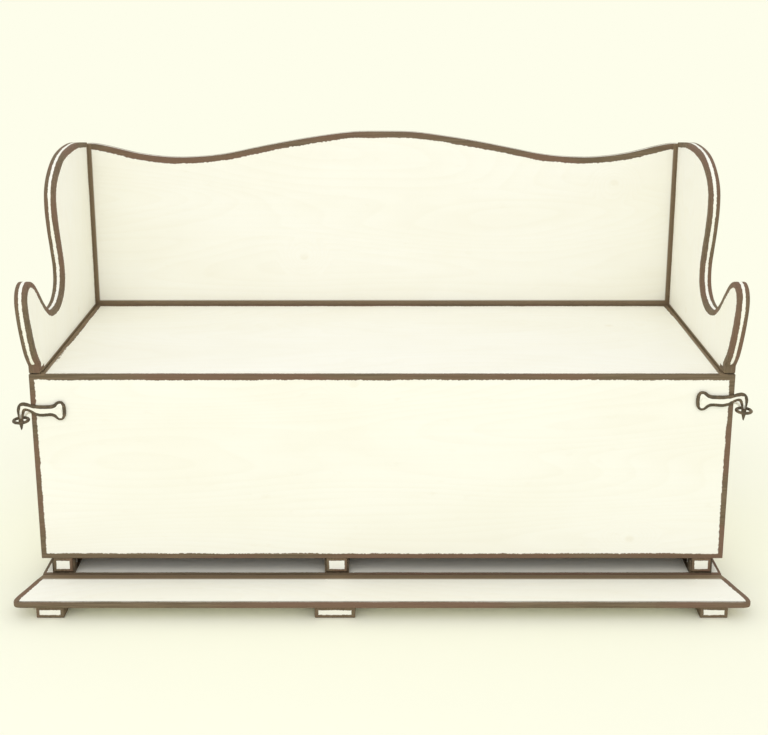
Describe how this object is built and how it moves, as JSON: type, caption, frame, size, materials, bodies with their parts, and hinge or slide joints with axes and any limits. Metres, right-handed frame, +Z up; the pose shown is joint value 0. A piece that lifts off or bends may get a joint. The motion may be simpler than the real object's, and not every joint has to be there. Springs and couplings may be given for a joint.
{
  "type": "settle bed",
  "caption": "High-backed wooden settle with shaped wings and arms whose seat and front tip forward on pins to open a low bed, held shut by two forged hooks and eyes.",
  "frame": {"origin": "on the ground under the middle of the object's bounding box", "axes": "+X along the bench to the right as seen from the front, +Y from the front to the back, +Z up; the seat faces -Y"},
  "size_m": [1.9284, 0.803, 1.155],
  "materials": {
    "painted_pine": "old cream milk paint over pine, worn through at the edges",
    "bare_pine": "bare aged pine, sawn and planed",
    "wrought_iron": "forged, dark brown-black, dull"
  },
  "bodies": {
    "settle_frame": {"step_board": "painted_pine", "end_board_left": "painted_pine", "end_board_right": "painted_pine", "back_board_top": "painted_pine", "sleeper_left": "bare_pine", "sleeper_middle": "bare_pine", "sleeper_right": "bare_pine", "floor_board_front": "bare_pine", "floor_board_middle": "bare_pine", "floor_board_back": "bare_pine", "back_board_middle": "bare_pine", "back_board_bottom": "bare_pine", "back_batten_left": "bare_pine", "back_batten_middle": "bare_pine", "back_batten_right": "bare_pine", "seat_ledger": "bare_pine", "eye_left": "wrought_iron", "eye_right": "wrought_iron", "hinge_bracket_left": "wrought_iron", "hinge_bracket_middle": "wrought_iron", "hinge_bracket_right": "wrought_iron", "hinge_pin_left": "wrought_iron", "hinge_pin_middle": "wrought_iron", "hinge_pin_right": "wrought_iron", "floor_nails": "wrought_iron", "back_nails": "wrought_iron", "end_board_nails": "wrought_iron", "ledger_nails": "wrought_iron", "bracket_nails": "wrought_iron"},
    "bed_box": {"front_board": "painted_pine", "seat_board": "painted_pine", "cheek_left": "bare_pine", "cheek_right": "bare_pine", "front_batten_left": "bare_pine", "front_batten_middle": "bare_pine", "front_batten_right": "bare_pine", "seat_batten_left": "bare_pine", "seat_batten_middle": "bare_pine", "seat_batten_right": "bare_pine", "front_nails": "wrought_iron", "seat_nails": "wrought_iron", "cheek_nails": "wrought_iron", "hook_stud_left": "wrought_iron", "hook_stud_right": "wrought_iron"},
    "left_hook": {"hook_left": "wrought_iron"},
    "right_hook": {"hook_right": "wrought_iron"}
  },
  "joints": [
    {"name": "box_tilt", "type": "hinge", "parent": "settle_frame", "child": "bed_box", "pos_m": [0, -0.2415, 0.077], "axis": [1, 0, 0], "range_deg": [0, 95.5]},
    {"name": "left_hook_lift", "type": "hinge", "parent": "bed_box", "child": "left_hook", "pos_m": [-0.841, -0.2584, 0.517], "axis": [0, 1, 0], "range_deg": [0, 90]},
    {"name": "right_hook_lift", "type": "hinge", "parent": "bed_box", "child": "right_hook", "pos_m": [0.835, -0.2584, 0.544], "axis": [0, -1, 0], "range_deg": [0, 34]}
  ]
}
